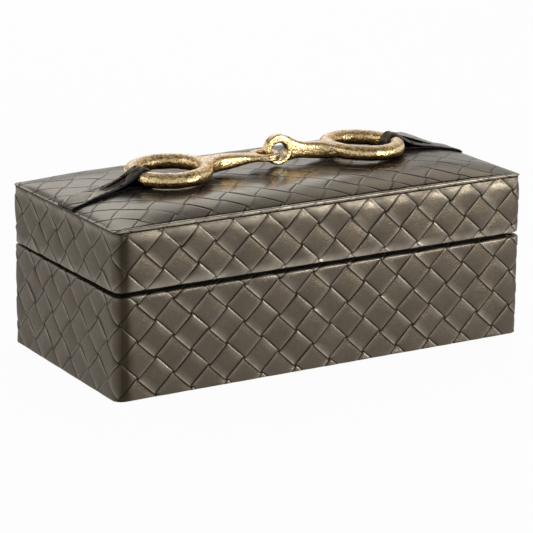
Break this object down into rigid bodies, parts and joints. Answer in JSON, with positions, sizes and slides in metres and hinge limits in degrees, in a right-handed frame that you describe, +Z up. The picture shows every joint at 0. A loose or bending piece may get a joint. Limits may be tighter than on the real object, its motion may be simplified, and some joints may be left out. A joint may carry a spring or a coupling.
{
  "type": "keepsake box",
  "caption": "Lidded keepsake box wrapped in woven leather, hinged at the back, with a padded top and a cast snaffle bit held by leather straps.",
  "frame": {"origin": "middle of the felt foot, on the surface that the box rests on", "axes": "+Z up, +X along the length, +Y from the front to the hinged back"},
  "size_m": [0.3, 0.1496, 0.1378],
  "materials": {
    "woven_leather": "pearly bronze-grey basket-weave leather",
    "strap_leather": "the same leather with blue-black painted edges",
    "fibreboard": "raw fibreboard",
    "suede_lining": "black suede cloth over card",
    "foam_padding": "foam",
    "foot_felt": "black felt",
    "hinge_brass": "satin brass",
    "antique_gold": "hammered antique gold"
  },
  "bodies": {
    "base": {"base_leather_wrap": "woven_leather", "base_front_panel": "fibreboard", "base_back_panel": "fibreboard", "base_left_panel": "fibreboard", "base_right_panel": "fibreboard", "base_floor_panel": "fibreboard", "base_liner_front": "suede_lining", "base_liner_back": "suede_lining", "base_liner_left": "suede_lining", "base_liner_right": "suede_lining", "base_liner_floor": "suede_lining", "base_felt_pad": "foot_felt", "lower_hinge_leaf_left": "hinge_brass", "lower_hinge_leaf_right": "hinge_brass", "hinge_pin_left": "hinge_brass", "hinge_pin_right": "hinge_brass", "lower_hinge_screws": "hinge_brass"},
    "lid": {"lid_side_wrap": "woven_leather", "lid_top_cover": "woven_leather", "left_strap": "strap_leather", "right_strap": "strap_leather", "lid_front_panel": "fibreboard", "lid_back_panel": "fibreboard", "lid_left_panel": "fibreboard", "lid_right_panel": "fibreboard", "lid_top_panel": "fibreboard", "lid_liner_front": "suede_lining", "lid_liner_back": "suede_lining", "lid_liner_left": "suede_lining", "lid_liner_right": "suede_lining", "lid_liner_ceiling": "suede_lining", "lid_top_padding": "foam_padding", "upper_hinge_leaf_left": "hinge_brass", "upper_hinge_leaf_right": "hinge_brass", "upper_hinge_screws": "hinge_brass"},
    "left_link": {"left_bit_link": "antique_gold"},
    "right_link": {"right_bit_link": "antique_gold"}
  },
  "joints": [
    {"name": "lid_hinge", "type": "hinge", "parent": "base", "child": "lid", "pos_m": [0, 0.0749, 0.068], "axis": [-1, 0, 0], "range_deg": [0, 100]},
    {"name": "left_link_lift", "type": "hinge", "parent": "lid", "child": "left_link", "pos_m": [-0.1, 0.00059, 0.12202], "axis": [0, -0.9999, 0.011], "range_deg": [0, 4.5]},
    {"name": "right_link_lift", "type": "hinge", "parent": "lid", "child": "right_link", "pos_m": [0.097, 0.00059, 0.12202], "axis": [0, 0.9999, -0.011], "range_deg": [0, 4.5]}
  ],
  "couplings": [
    {"joint": "right_link_lift", "follows": "left_link_lift", "ratio": 1}
  ]
}
